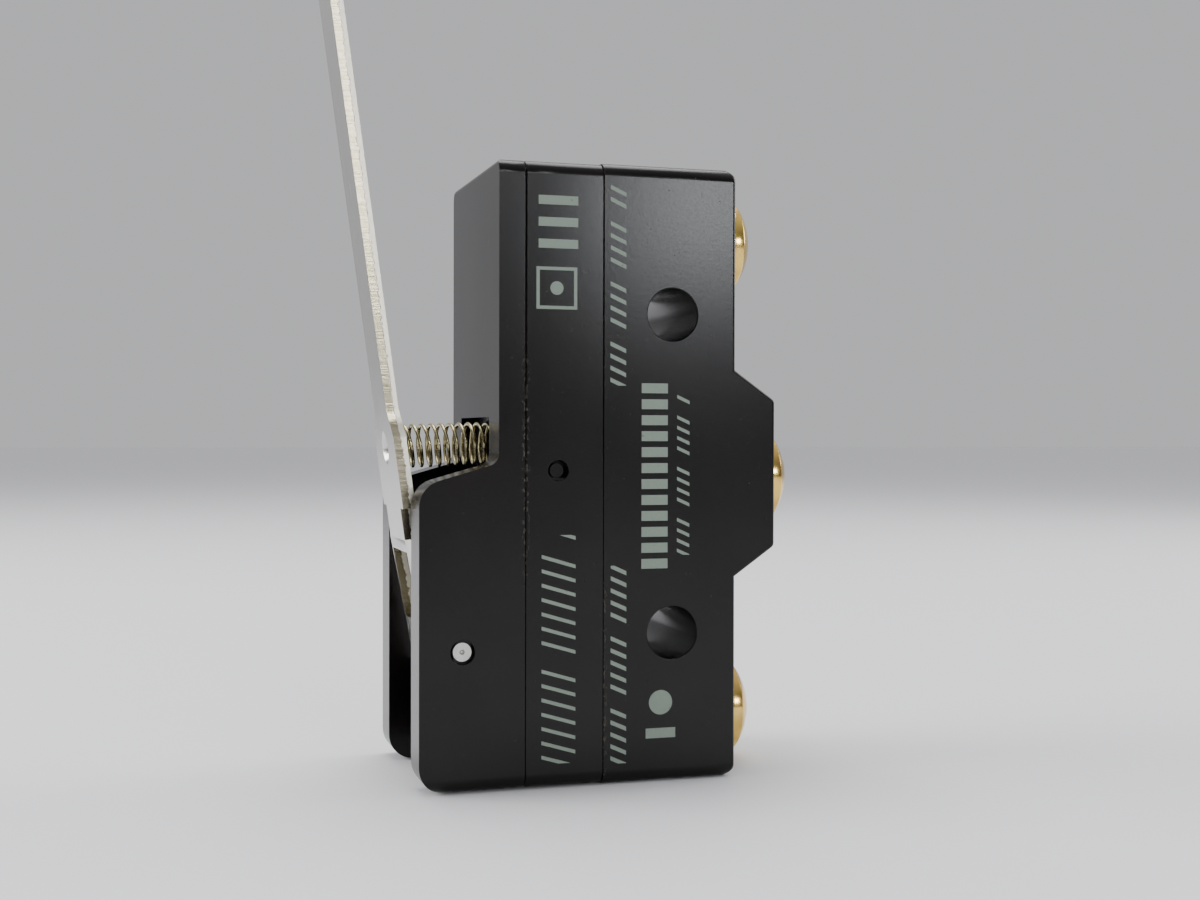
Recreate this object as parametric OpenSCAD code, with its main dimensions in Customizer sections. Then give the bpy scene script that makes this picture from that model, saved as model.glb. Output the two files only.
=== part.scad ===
// Snap-action limit switch with a long hinged lever and three screw terminals.
// It stands on one end: +Z runs along the case, the lever is on the -X side and
// the terminals are on the +X side. The mounting holes lie on X = 0.

/* [Case] */
// Length of the case from end face to end face
case_len = 49.2; // [46:0.1:60]
// Width of the case between its two side faces
case_w = 17.45; // [16.5:0.05:24]
// Depth of the terminal base from its seam to the end terminal faces
base_depth = 11.17; // [10.8:0.01:15]
// Depth of the cover between its two seams
cover_depth = 6.33; // [6.2:0.01:8]
// Side and end wall of the base rim and the cover
wall = 1.5; // [1.2:0.1:1.7]
// Wall of the cover under the lever holder
cover_top = 1.2; // [0.9:0.1:1.6]
// Depth of the shallow well in the base under the contacts
well_depth = 2.24; // [2:0.01:2.6]
// Radius of the long edges between the side faces and the end faces
edge_r = 1.1; // [0.5:0.1:1.4]
// How far the base stands proud of the cover at each end
base_proud = 0.1; // [0.05:0.05:0.2]

/* [Middle terminal block] */
// Height of the middle terminal block over the end terminal faces
block_h = 3.46; // [2:0.01:6]
// Length of the block along the case at its outer face
block_len = 11.9; // [10:0.1:16]
// Extra length of the block at its root, on each side
block_flare = 2.42; // [0.5:0.01:3.5]

/* [Mounting holes] */
// Diameter of the two mounting holes
mount_d = 4.2; // [3.2:0.1:5]
// Distance between the mounting holes
mount_pitch = 25.4; // [24:0.1:26]
// Distance from the hole line to the seam between the base and the cover
mount_from_seam = 5.74; // [5.5:0.01:6.2]

/* [Lever holder] */
// Thickness of the thin end of the holder
holder_t = 2.15; // [1.5:0.01:3]
// Height of the two cheeks over the cover
cheek_h = 8.38; // [8:0.01:10]
// Width of the slot between the cheeks
slot_w = 10.6; // [10:0.1:12.5]
// Thickness of the holder under the slot
slot_floor = 1.0; // [0.6:0.1:1.4]
// Slope of the cheeks' shoulder
shoulder_slope = 16; // [8:1:25]
// Radius of the cheeks' outer corners
cheek_r = 2.1; // [1:0.1:2.5]
// Radius of the inner corner where the cheeks meet the thin end
shoulder_r = 1.0; // [0.8:0.1:2]

/* [Hinge pin] */
// Diameter of the hinge pin
pin_d = 1.45; // [1.2:0.05:1.8]
// Distance from the cheeks' outer face to the pin
pin_depth = 3.4; // [3:0.05:3.8]
// Distance from the pin down from the lower mounting hole
pin_below_hole = 0.95; // [0:0.05:2]
// How far each pin end lies below the side face
pin_recess = 0.25; // [0.1:0.05:0.6]

/* [Lever] */
// Thickness of the lever's steel sheet
lever_t = 1.0; // [0.8:0.05:1.2]
// Distance from the pin to the lever's tip
lever_len = 63.5; // [30:0.5:90]
// Width of the arm
arm_w = 6.0; // [4:0.1:8]
// Width of the lever between the outer faces of its ears
web_w = 9.4; // [8:0.1:9.8]
// Lean of the arm away from the case
lever_lean = 7.8; // [6:0.1:9]
// Lean of the heel below the knee
heel_lean = 10.6; // [9:0.1:16]
// Distance from the pin to the heel's outer face
web_from_pin = 2.02; // [1.9:0.01:2.5]
// Depth of the relief notch in each side of the web, over the knee
notch_depth = 1.25; // [1.25:0.05:1.6]
// Width of the window in the web
window_w = 6.6; // [5:0.1:7]
// Width of the tongue that presses the plunger
tongue_w = 3.6; // [2.5:0.1:4.5]

/* [Plunger and return spring] */
// Diameter of the plunger's stem
plunger_d = 3.0; // [2.4:0.1:3.6]
// Distance from the hinge pin to the plunger, along the case
plunger_from_pin = 5.75; // [5.5:0.05:6.5]
// Diameter of the guide bush around the plunger
bush_d = 5.0; // [4.6:0.1:5.4]
// Height of the guide bush over the cover
bush_h = 2.1; // [1.5:0.1:2.5]
// How far the plunger stands out of its bush at rest
plunger_out = 2.0; // [1.8:0.1:2.3]
// Outer diameter of the return spring
spring_d = 3.6; // [3.2:0.05:4]
// Wire diameter of the return spring
wire_d = 0.3; // [0.25:0.01:0.45]
// Number of turns of the return spring
spring_turns = 11.5; // [7:0.5:12]
// Distance from the hinge pin to the spring's foot, along the case
spring_from_pin = 16.05; // [14:0.05:18]

/* [Terminals] */
// Nominal diameter of the terminal screws
screw_d = 4.0; // [3:0.1:4.2]
// Length of the screws' shanks
screw_len = 7.6; // [5:0.1:8]
// Diameter of the screw heads
head_d = 7.8; // [6.5:0.1:8.2]
// Height of the screw heads
head_h = 2.57; // [2:0.01:3.5]
// Radius of the domes on the screw heads
dome_r = 5.9; // [5:0.1:12]
// Thickness of the terminals' brass strip
strip_t = 0.8; // [0.6:0.05:0.9]
// Width of the terminals' strip inside the case
strip_w = 4.0; // [3:0.1:5]
// Side of the square washers
washer_w = 8.0; // [7:0.1:8.4]
// Thickness of the washers
washer_t = 0.8; // [0.5:0.05:1]
// Distance from each end face to an end screw, before the shift
terminal_inset = 4.8; // [4.7:0.1:5.2]
// Shift of all three screws towards the hinge end
terminal_shift = 0.45; // [0:0.05:0.45]

/* [Snap mechanism] */
// Thickness of the blade
blade_t = 0.28; // [0.15:0.01:0.35]
// Width of the blade
blade_w = 6.4; // [5.6:0.1:7]
// Diameter of the contact heads
contact_d = 3.2; // [2.4:0.1:3.6]
// Height of the fixed contacts' heads
contact_h = 0.7; // [0.4:0.05:0.9]
// Thickness of the moving contact over both its faces
moving_h = 2.0; // [1.6:0.05:2.4]
// Free gap that the moving contact crosses
contact_gap = 0.98; // [0.5:0.01:1.2]

/* [Hidden] */
$fn = 48;

// Clearances
past = 1;            // how far a cut runs past the face that it opens
touch_gap = 0.02;    // between faces that rest on each other
run_gap = 0.05;      // radial, between a stem or pin and its bore
slip_gap = 0.1;      // between moulded or pushed-in pieces
stake_gap = 0.005;   // between a staked contact and its blade
nose_gap = 1.13;     // between the plunger's nose and the blade at rest

// Levels across the case, from the terminals to the lever
seam_x = -mount_from_seam;
face_x = seam_x + base_depth;
block_x = face_x + block_h;
well_x = seam_x + well_depth;
cover_x = seam_x - cover_depth;
ceiling_x = cover_x + cover_top;
slot_x = cover_x - slot_floor;
thin_x = cover_x - holder_t;
cheek_x = cover_x - cheek_h;
bush_x = cover_x - bush_h;
plunger_x = bush_x - plunger_out;
pin_x = cheek_x + pin_depth;

// Heights along the case
spring_headroom = 0.3;
shoulder_drop = 1.5;
mid_z = case_len / 2;
hole_z = mid_z - mount_pitch / 2;
pin_z = hole_z - pin_below_hole;
plunger_z = pin_z + plunger_from_pin;
spring_z = pin_z + spring_from_pin;
slot_top_z = spring_z + spring_d / 2 + spring_headroom;
shoulder_z = spring_z - shoulder_drop;
common_z = terminal_inset - terminal_shift;
open_z = mid_z - terminal_shift;
closed_z = case_len - terminal_inset - terminal_shift;

// Latch lugs on the base, each with a round stud that snaps into the cover
latch_x = seam_x - 3.7;
latch_z = mid_z + 0.3;
latch_hole_d = 1.66;
stud_d = 1.1;
stud_recess = 0.6;
lug_w = 4;
lug_t = 1.2;
lug_reach = 1.1;
lug_end_x = latch_x - lug_reach;

// Corners that are rounded in the side view
base_corner_r = 0.9;
thin_corner_r = 0.4;

// Pegs that locate the holder on the cover
peg_d = 2;
peg_inset_y = 3.2;
peg_inset_z = 5;
peg_len = cover_top - slip_gap;

// Pin ends
counterbore_d = pin_d + 0.45;
counterbore_depth = 0.5;
dimple_d = 0.4;

// Lever: the knee is where the heel, with its two ears, bends away from the flat arm
knee_rise = 8.35;
knee = [pin_x - web_from_pin - knee_rise * tan(heel_lean), pin_z + knee_rise];
arm_dir = [-sin(lever_lean), cos(lever_lean)];
heel_across = [cos(heel_lean), sin(heel_lean)];
heel_up = [-sin(heel_lean), cos(heel_lean)];
pin_off = [pin_x, pin_z] - knee;
pin_at_heel = [pin_off * heel_across, pin_off * heel_up];
arm_len = pin_off * arm_dir
    + sqrt(pow(pin_off * arm_dir, 2) + pow(lever_len, 2) - pin_off * pin_off);
heel_len = 10.95;
heel_lap = 0.05;
notch_len = 2.55;
bend_r = 1.2;
spring_hole_drop = 0.4;
spring_hole_s = (spring_z - spring_hole_drop - knee[1]) / cos(lever_lean);
shoulder_s = spring_hole_s + 0.75;
shoulder_len = 2.3;
tip_r = 1.5;
ear_r = 2.6;
ear_width = 1.6;
stop_gap = 0.04;
stop_drop = 2;
stop_off = [slot_x - stop_gap, pin_z - stop_drop] - knee;
stop_at_heel = [stop_off * heel_across, stop_off * heel_up];
window_low_z = pin_z + 1.6;
window_high_z = knee[1] - 1;
tongue_root_s = 7.25;
tongue_root_d = 0.9 * lever_t;
tongue_tip_d = 1.06 * lever_t;
tongue_gap = 0.03;
collar_play = 0.3;
collar_wall = 0.4;
collar_d = spring_d - 2 * wire_d - collar_play;
collar_bore_d = collar_d - 2 * collar_wall;
collar_h = 0.5;
mouth_lift = 0.01;

// Plunger
plunger_flange_d = plunger_d + 1.8;
plunger_flange_t = 0.9;
nose_d = 2.4;
plunger_chamfer = 0.3;

// Snap mechanism: the moving contact rests on the closed contact's face
blade_x = seam_x - 1.44;
blade_half = blade_t / 2;
contact_drop = 3.35;
contact_z = closed_z - contact_drop;
closed_face_x = blade_x - moving_h / 2 - touch_gap;
open_face_x = blade_x + moving_h / 2 + contact_gap;
closed_arm_x = closed_face_x - contact_h - strip_t;
open_arm_x = open_face_x + contact_h;
anchor_z = common_z + 4.9;
pad_h = 0.6;
pad_x = blade_x + blade_half + run_gap;
platform_x = pad_x + pad_h;
pad_len = 2.5;
fulcrum_z = plunger_z + 2.5;
blade_window_w = 3.4;
blade_window_low = fulcrum_z + 0.1;
blade_window_high = contact_z - 6.5;
blade_tail = 1.6;
rivet_d = 1.6;
rivet_head_d = 3;
rivet_head_h = 0.5;
tail_d = 2.1;
tail_h = 0.25;
bow_t = 0.2;
bow_w = 2.8;
bow_sag = 0.9;
bow_foot_gap = 0.22;
blade_tip = 0.3;

// Room in the base round the open contact's riveted tail
tail_play = 0.35;
tail_room = 0.3;

// Terminals
strip_off = 2.75;
plate_w = 7.6;
plate_low = 3.4;
screw_hole_d = screw_d + 0.3;
screw_hole_depth = screw_len + 0.4 - strip_t - washer_t;
driver_slot_w = 1;
driver_slot_depth = 1.1;
cross_len = 4.2;
cross_w = 1.2;
cross_depth = 1.7;
closed_washer_turn = 17;
washer_r = 1;

brass = [0.80, 0.62, 0.30];
silver = [0.86, 0.86, 0.84];
nickel = [0.72, 0.71, 0.69];
phenolic = [0.07, 0.07, 0.075];

// ---- Shapes that repeat -------------------------------------------------

// Extrudes a drawing of X against Z along Y, centred on Y = 0
module along_y(width) {
    rotate([90, 0, 0]) translate([0, 0, -width / 2]) linear_extrude(width) children();
}

// Extrudes a drawing of Y against Z along X
module along_x(x0, x1) {
    translate([x0, 0, 0]) rotate([90, 0, 90]) linear_extrude(x1 - x0) children();
}

// A round bar or a cut for one along X, at y and z
module bar_x(x0, x1, d, y, z) {
    translate([x0, y, z]) rotate([0, 90, 0]) cylinder(h = x1 - x0, d = d);
}

// A round bar or a cut for one along Y, at x and z
module bar_y(y0, y1, d, x, z) {
    translate([x, y1, z]) rotate([90, 0, 0]) cylinder(h = y1 - y0, d = d);
}

// A block between two X levels and two heights, centred on Y = 0
module block(x0, x1, width, z0, z1) {
    translate([x0, -width / 2, z0]) cube([x1 - x0, width, z1 - z0]);
}

module rounded_rect(size, r) {
    translate([r, 0]) square([size[0] - 2 * r, size[1]]);
    translate([0, r]) square([size[0], size[1] - 2 * r]);
    for (x = [r, size[0] - r], y = [r, size[1] - r]) translate([x, y]) circle(r);
}

// The sliver between a corner at p and the arc of radius r that rounds it.
// The corner's edges leave p at angles a and b, with b > a.
module corner_sliver(p, a, b, r) {
    half = (b - a) / 2;
    centre = p + r / sin(half) * [cos(a + half), sin(a + half)];
    reach = r / tan(half);
    difference() {
        polygon([p, p + reach * [cos(a), sin(a)], centre, p + reach * [cos(b), sin(b)]]);
        translate(centre) circle(r);
    }
}

// Cross-section of the mouldings in Y and Z, shortened at both ends
module case_section(short) {
    translate([-case_w / 2, short]) rounded_rect([case_w, case_len - 2 * short], edge_r);
}

// Space for the mechanism between two X levels
module cavity(x0, x1) {
    block(x0, x1, case_w - 2 * wall, wall, case_len - wall);
}

// ---- Mouldings ----------------------------------------------------------

module base_outline() {
    difference() {
        translate([seam_x, 0]) square([base_depth, case_len]);
        corner_sliver([face_x, 0], 90, 180, base_corner_r);
        corner_sliver([face_x, case_len], 180, 270, base_corner_r);
    }
    root = block_len / 2 + block_flare;
    polygon([[face_x - past, mid_z - root], [face_x, mid_z - root],
             [block_x, mid_z - block_len / 2], [block_x, mid_z + block_len / 2],
             [face_x, mid_z + root], [face_x - past, mid_z + root]]);
}

module latch_lugs() {
    lug_y = case_w / 2 - wall - run_gap;
    for (side = [-1, 1]) scale([1, side, 1]) {
        translate([lug_end_x, lug_y - lug_t, latch_z - lug_w / 2])
            cube([well_x - lug_end_x + past, lug_t, lug_w]);
        bar_y(lug_y - lug_t / 2, case_w / 2 - stud_recess, stud_d, latch_x, latch_z);
    }
}

module terminal_base() {
    color(phenolic) union() {
        difference() {
            intersection() {
                along_y(case_w) base_outline();
                along_x(seam_x, block_x) case_section(0);
            }
            cavity(seam_x - past, well_x);
            for (side = [-1, 1]) bar_y(-case_w / 2 - past, case_w / 2 + past, mount_d,
                                       0, mid_z + side * mount_pitch / 2);
            terminal_holes(face_x, common_z);
            terminal_holes(block_x, open_z);
            terminal_holes(face_x, closed_z);
            bar_x(well_x - past, open_arm_x + strip_t + tail_h + tail_room,
                  tail_d + 2 * tail_play, 0, contact_z);
        }
        latch_lugs();
    }
}

// The screw's hole and the slot for the terminal's strip
module terminal_holes(face, z) {
    bar_x(face - screw_hole_depth, face + past, screw_hole_d, 0, z);
    block(well_x - past, face + past, strip_w + 2 * slip_gap,
          z + strip_off - slip_gap, z + strip_off + strip_t + slip_gap);
}

module holder_pegs(d, length) {
    for (side = [-1, 1], z = [peg_inset_z, case_len - peg_inset_z])
        bar_x(cover_x - touch_gap, cover_x + length, d, side * (case_w / 2 - peg_inset_y), z);
}

module switch_cover() {
    color(phenolic) difference() {
        union() {
            along_x(cover_x, seam_x) case_section(base_proud);
            bar_x(bush_x, cover_x + past, bush_d, 0, plunger_z);
        }
        cavity(ceiling_x, seam_x + past);
        bar_x(bush_x - past, ceiling_x + past, plunger_d + 2 * run_gap, 0, plunger_z);
        bar_y(-case_w / 2 - past, case_w / 2 + past, latch_hole_d, latch_x, latch_z);
        holder_pegs(peg_d + 2 * run_gap, cover_top + past);
    }
}

module holder_outline() {
    drop = (thin_x - cheek_x) * tan(shoulder_slope);
    difference() {
        union() {
            translate([thin_x, base_proud]) square([holder_t, case_len - 2 * base_proud]);
            polygon([[cover_x, base_proud], [cheek_x, base_proud],
                     [cheek_x, shoulder_z - drop], [thin_x, shoulder_z], [cover_x, shoulder_z]]);
            corner_sliver([thin_x, shoulder_z], 90, 180 + shoulder_slope, shoulder_r);
        }
        corner_sliver([cheek_x, base_proud], 0, 90, cheek_r);
        corner_sliver([cheek_x, shoulder_z - drop], -90, shoulder_slope, cheek_r);
        corner_sliver([thin_x, case_len - base_proud], -90, 0, thin_corner_r);
    }
}

module lever_holder() {
    color(phenolic) union() {
        difference() {
            intersection() {
                along_y(case_w) holder_outline();
                along_x(cheek_x, cover_x) case_section(base_proud);
            }
            block(cheek_x - past, slot_x, slot_w, -past, slot_top_z);
            bar_x(slot_x - past, cover_x + past, bush_d + 2 * slip_gap, 0, plunger_z);
            bar_x(slot_x - past, cover_x - slot_floor / 2, spring_d + 0.4, 0, spring_z);
            bar_y(-case_w / 2 - past, case_w / 2 + past, pin_d + run_gap, pin_x, pin_z);
            for (side = [-1, 1]) scale([1, side, 1])
                bar_y(case_w / 2 - counterbore_depth, case_w / 2 + past, counterbore_d,
                      pin_x, pin_z);
        }
        holder_pegs(peg_d, peg_len);
    }
}

// ---- Lever --------------------------------------------------------------

module arm_frame() {
    translate([knee[0], 0, knee[1]]) rotate([0, -lever_lean, 0]) children();
}

module heel_frame() {
    translate([knee[0], 0, knee[1]]) rotate([0, -heel_lean, 0]) children();
}

// Flat arm, drawn as Y against the distance from the knee
module arm_outline() {
    a = arm_w / 2;
    w = web_w / 2;
    n = w - notch_depth;
    difference() {
        polygon([[-n, -heel_lap], [n, -heel_lap], [n, notch_len], [w, notch_len],
                 [w, shoulder_s], [a, shoulder_s + shoulder_len], [a, arm_len],
                 [-a, arm_len], [-a, shoulder_s + shoulder_len], [-w, shoulder_s],
                 [-w, notch_len], [-n, notch_len]]);
        corner_sliver([a, arm_len], 180, 270, tip_r);
        corner_sliver([-a, arm_len], -90, 0, tip_r);
    }
}

// Cross-section of the heel: a web with two ears, drawn across the heel against Y
module heel_section() {
    depth = stop_at_heel[0] + past;
    flat = web_w - 2 * bend_r;
    difference() {
        union() {
            translate([0, -flat / 2]) square([bend_r, flat]);
            translate([bend_r, -web_w / 2]) square([depth, web_w]);
            for (side = [-1, 1]) translate([bend_r, side * flat / 2]) circle(bend_r);
        }
        translate([lever_t, lever_t - web_w / 2]) square([depth + past, web_w - 2 * lever_t]);
    }
}

// Side view of the heel, drawn across the heel against the distance from the knee
module heel_outline() {
    difference() {
        union() {
            polygon([[-past, heel_lap], [-past, -heel_len], [ear_width, -heel_len],
                     [pin_at_heel[0], pin_at_heel[1] - ear_r], stop_at_heel,
                     pin_at_heel + ear_r * [cos(30), sin(30)], [ear_width, heel_lap]]);
            translate(pin_at_heel) circle(ear_r);
        }
        translate(pin_at_heel) circle(d = pin_d + 2 * run_gap);
    }
}

module tongue() {
    root = knee - tongue_root_s * heel_up + lever_t / 2 * heel_across;
    tip = [plunger_x - tongue_gap - tongue_tip_d / 2, plunger_z];
    reach = tip - root;
    translate([root[0], 0, root[1]]) rotate([0, atan2(reach[0], reach[1]), 0])
        block(-lever_t / 2, lever_t / 2, tongue_w, 0, norm(reach));
    bar_y(-tongue_w / 2, tongue_w / 2, tongue_root_d, root[0], root[1]);
    bar_y(-tongue_w / 2, tongue_w / 2, tongue_tip_d, tip[0], tip[1]);
}

module hinge_lever() {
    color(nickel) union() {
        difference() {
            union() {
                arm_frame() along_x(0, lever_t) arm_outline();
                heel_frame() intersection() {
                    translate([0, 0, stop_at_heel[1] - past])
                        linear_extrude(heel_lap + past - stop_at_heel[1]) heel_section();
                    along_y(web_w + past) heel_outline();
                }
                arm_frame() translate([lever_t, 0, spring_hole_s]) rotate([0, 90, 0])
                    cylinder(h = collar_h, d = collar_d);
            }
            block(cheek_x - past, pin_x - lever_t / 2, window_w, window_low_z, window_high_z);
            arm_frame() translate([0, 0, spring_hole_s]) rotate([0, 90, 0]) {
                translate([0, 0, -past]) cylinder(h = 3 * past + collar_h, d = collar_bore_d);
                translate([0, 0, -mouth_lift])
                    cylinder(h = lever_t / 2, d1 = collar_d, d2 = collar_bore_d);
            }
        }
        tongue();
    }
}

module hinge_pin() {
    length = case_w - 2 * pin_recess;
    color(silver) difference() {
        bar_y(-length / 2, length / 2, pin_d, pin_x, pin_z);
        for (side = [-1, 1]) translate([pin_x, side * length / 2, pin_z])
            sphere(d = dimple_d);
    }
}

// ---- Return spring ------------------------------------------------------

coil_r = (spring_d - wire_d) / 2;
spring_foot_x = cover_x - slot_floor / 2 - touch_gap;
spring_fall = spring_hole_drop - (lever_t + wire_d / 2) * sin(lever_lean);
lever_inner_x = knee[0] - (spring_z - spring_fall - knee[1]) * tan(lever_lean)
    + lever_t / cos(lever_lean);
spring_len = spring_foot_x - lever_inner_x - touch_gap - wire_d;
steps_per_turn = 20;
wire_sides = 8;
spring_steps = round(spring_turns * steps_per_turn);

// Distance of the wire from the foot after u turns, with one closed turn at each end
function coil_rise(u) =
    u < 1 ? wire_d * u
    : u > spring_turns - 1 ? spring_len - wire_d * (spring_turns - u)
    : wire_d + (spring_len - 2 * wire_d) * (u - 1) / (spring_turns - 2);

// Centre of the wire after u turns; the coils sink and lean over to meet the lever squarely
function coil_point(u) =
    let (rise = coil_rise(u), share = rise / spring_len, dz = coil_r * sin(360 * u))
    [spring_foot_x - wire_d / 2 - rise - dz * tan(lever_lean) * share,
     -coil_r * cos(360 * u), spring_z - spring_fall * share + dz];

function ring_point(u, k) =
    let (out = [0, -cos(360 * u), sin(360 * u)], a = 360 * k / wire_sides)
    coil_point(u) + wire_d / 2 * (cos(a) * out + sin(a) * [1, 0, 0]);

module return_spring() {
    points = [for (i = [0:spring_steps], k = [0:wire_sides - 1])
              ring_point(i / steps_per_turn, k)];
    last = spring_steps * wire_sides;
    walls = [for (i = [0:spring_steps - 1], k = [0:wire_sides - 1])
             let (a = i * wire_sides, n = (k + 1) % wire_sides)
             each [[a + k, a + wire_sides + k, a + n],
                   [a + n, a + wire_sides + k, a + wire_sides + n]]];
    ends = [[for (k = [0:wire_sides - 1]) k], [for (k = [wire_sides - 1:-1:0]) last + k]];
    color(silver) polyhedron(points, concat(walls, ends));
}

// ---- Plunger ------------------------------------------------------------

module plunger() {
    stem_r = plunger_d / 2;
    shoulder_x = ceiling_x + touch_gap;
    nose_x = blade_x - blade_half - nose_gap;
    c = plunger_chamfer;
    color([0.15, 0.13, 0.12]) translate([plunger_x, 0, plunger_z]) rotate([0, 90, 0])
        rotate_extrude() polygon([
            [0, 0], [stem_r - c, 0], [stem_r, c], [stem_r, shoulder_x - plunger_x],
            [plunger_flange_d / 2, shoulder_x - plunger_x],
            [plunger_flange_d / 2, shoulder_x + plunger_flange_t - plunger_x],
            [nose_d / 2, shoulder_x + plunger_flange_t - plunger_x],
            [nose_d / 2, nose_x - plunger_x], [0, nose_x - plunger_x]]);
}

// ---- Snap mechanism -----------------------------------------------------

module snap_blade() {
    color([0.78, 0.55, 0.33]) difference() {
        block(blade_x - blade_half, blade_x + blade_half, blade_w,
              anchor_z - blade_tail, contact_z + contact_d / 2 + blade_tip);
        block(blade_x - past, blade_x + past, blade_window_w, blade_window_low, blade_window_high);
        bar_x(blade_x - past, blade_x + past, rivet_d + 2 * run_gap, 0, anchor_z);
        bar_x(blade_x - past, blade_x + past, rivet_d, 0, contact_z);
    }
}

// Bowed strip between the fulcrum on the common terminal and the blade's window
module bow_spring() {
    foot = [platform_x + strip_t / 2, fulcrum_z + bow_foot_gap];
    head = [blade_x, blade_window_high - slip_gap];
    chord = head - foot;
    radius = (chord * chord / 4 + bow_sag * bow_sag) / (2 * bow_sag);
    side = [chord[1], -chord[0]] / norm(chord);
    centre = (foot + head) / 2 - (radius - bow_sag) * side;
    color([0.78, 0.55, 0.33]) along_y(bow_w) intersection() {
        translate(centre) difference() {
            circle(radius, $fn = 360);
            circle(radius - bow_t, $fn = 360);
        }
        polygon([foot, foot + 2 * bow_sag * side, head + 2 * bow_sag * side, head]);
    }
}

module moving_contact() {
    inner = blade_half + stake_gap;
    color(silver) union() {
        bar_x(blade_x - moving_h / 2, blade_x - inner, contact_d, 0, contact_z);
        bar_x(blade_x + inner, blade_x + moving_h / 2, contact_d, 0, contact_z);
        bar_x(blade_x - inner, blade_x + inner, rivet_d - 2 * touch_gap, 0, contact_z);
    }
}

module blade_rivet() {
    head_x = blade_x - blade_half - run_gap;
    color(brass) union() {
        bar_x(head_x - rivet_head_h, head_x, rivet_head_d, 0, anchor_z);
        bar_x(head_x, platform_x + strip_t, rivet_d, 0, anchor_z);
        bar_x(platform_x + strip_t, platform_x + strip_t + tail_h, tail_d, 0, anchor_z);
    }
}

// A fixed contact's head, shank and riveted tail, from its strip's two faces
module fixed_contact(face, strip_face, back) {
    way = sign(back - strip_face);
    tail = back + way * tail_h;
    color(silver) union() {
        bar_x(min(face, strip_face), max(face, strip_face), contact_d, 0, contact_z);
        bar_x(min(strip_face, back), max(strip_face, back), rivet_d, 0, contact_z);
        bar_x(min(back, tail), max(back, tail), tail_d, 0, contact_z);
    }
}

module open_contact() {
    fixed_contact(open_face_x, open_arm_x, open_arm_x + strip_t);
}

module closed_contact() {
    fixed_contact(closed_face_x, closed_arm_x + strip_t, closed_arm_x);
}

// ---- Terminals ----------------------------------------------------------

// A strip with a plate under its screw, a riser through the base and an arm inside,
// whose outer level is arm_x and which runs to height arm_z
module terminal(face, z, arm_x, arm_z) {
    riser_z = z + strip_off;
    difference() {
        union() {
            block(face, face + strip_t, plate_w, z - plate_low, riser_z + strip_t);
            block(arm_x, face + strip_t, strip_w, riser_z, riser_z + strip_t);
            block(arm_x, arm_x + strip_t, strip_w, min(riser_z, arm_z),
                  max(riser_z + strip_t, arm_z));
            children();
        }
        bar_x(face - past, face + strip_t + past, screw_d + 2 * run_gap, 0, z);
    }
}

module common_terminal() {
    color(brass) difference() {
        terminal(face_x, common_z, platform_x, fulcrum_z)
            block(pad_x, platform_x + slip_gap, strip_w, anchor_z - pad_len / 2,
                  anchor_z + pad_len / 2);
        bar_x(pad_x - past, platform_x + strip_t + past, rivet_d, 0, anchor_z);
    }
}

module open_terminal() {
    color(brass) difference() {
        terminal(block_x, open_z, open_arm_x, contact_z + contact_d / 2);
        bar_x(open_arm_x - past, open_arm_x + strip_t + past, rivet_d, 0, contact_z);
    }
}

module closed_terminal() {
    color(brass) difference() {
        terminal(face_x, closed_z, closed_arm_x, contact_z - contact_d / 2);
        bar_x(closed_arm_x - past, closed_arm_x + strip_t + past, rivet_d, 0, contact_z);
    }
}

// A domed screw with a straight slot and a cross recess, on its washer
module terminal_screw(face, z) {
    seat = face + strip_t + washer_t;
    top = seat + head_h;
    color(brass) difference() {
        union() {
            bar_x(seat - screw_len, seat + head_h / 4, screw_d, 0, z);
            translate([seat, 0, z]) rotate([0, 90, 0]) rotate_extrude() intersection() {
                square([head_d / 2, head_h]);
                translate([0, head_h - dome_r]) circle(dome_r, $fn = 96);
            }
        }
        block(top - driver_slot_depth, top + past, head_d + 2, z - driver_slot_w / 2,
              z + driver_slot_w / 2);
        for (size = [[cross_len, cross_w], [cross_w, cross_len]])
            block(top - cross_depth, top + past, size[0], z - size[1] / 2, z + size[1] / 2);
    }
}

module terminal_washer(face, z, turn) {
    color([0.83, 0.74, 0.52]) translate([face + strip_t, 0, z]) rotate([turn, 0, 0])
        difference() {
            along_x(0, washer_t) translate([-washer_w / 2, -washer_w / 2])
                rounded_rect([washer_w, washer_w], washer_r);
            bar_x(-past, washer_t + past, screw_hole_d, 0, 0);
        }
}

module common_screw() { terminal_screw(face_x, common_z); }
module open_screw() { terminal_screw(block_x, open_z); }
module closed_screw() { terminal_screw(face_x, closed_z); }
module common_washer() { terminal_washer(face_x, common_z, 0); }
module open_washer() { terminal_washer(block_x, open_z, 0); }
module closed_washer() { terminal_washer(face_x, closed_z, closed_washer_turn); }

terminal_base();
switch_cover();
lever_holder();
hinge_lever();
hinge_pin();
return_spring();
plunger();
snap_blade();
bow_spring();
moving_contact();
blade_rivet();
common_terminal();
open_terminal();
closed_terminal();
open_contact();
closed_contact();
common_screw();
open_screw();
closed_screw();
common_washer();
open_washer();
closed_washer();
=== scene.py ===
"""Limit switch with a long hinge lever: its visible pieces, finishes, light and camera."""
import logging
import math
from dataclasses import dataclass, field
from enum import Enum
from typing import Callable, Optional, Union

import bmesh
import bpy
from mathutils import Matrix, Vector


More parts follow.
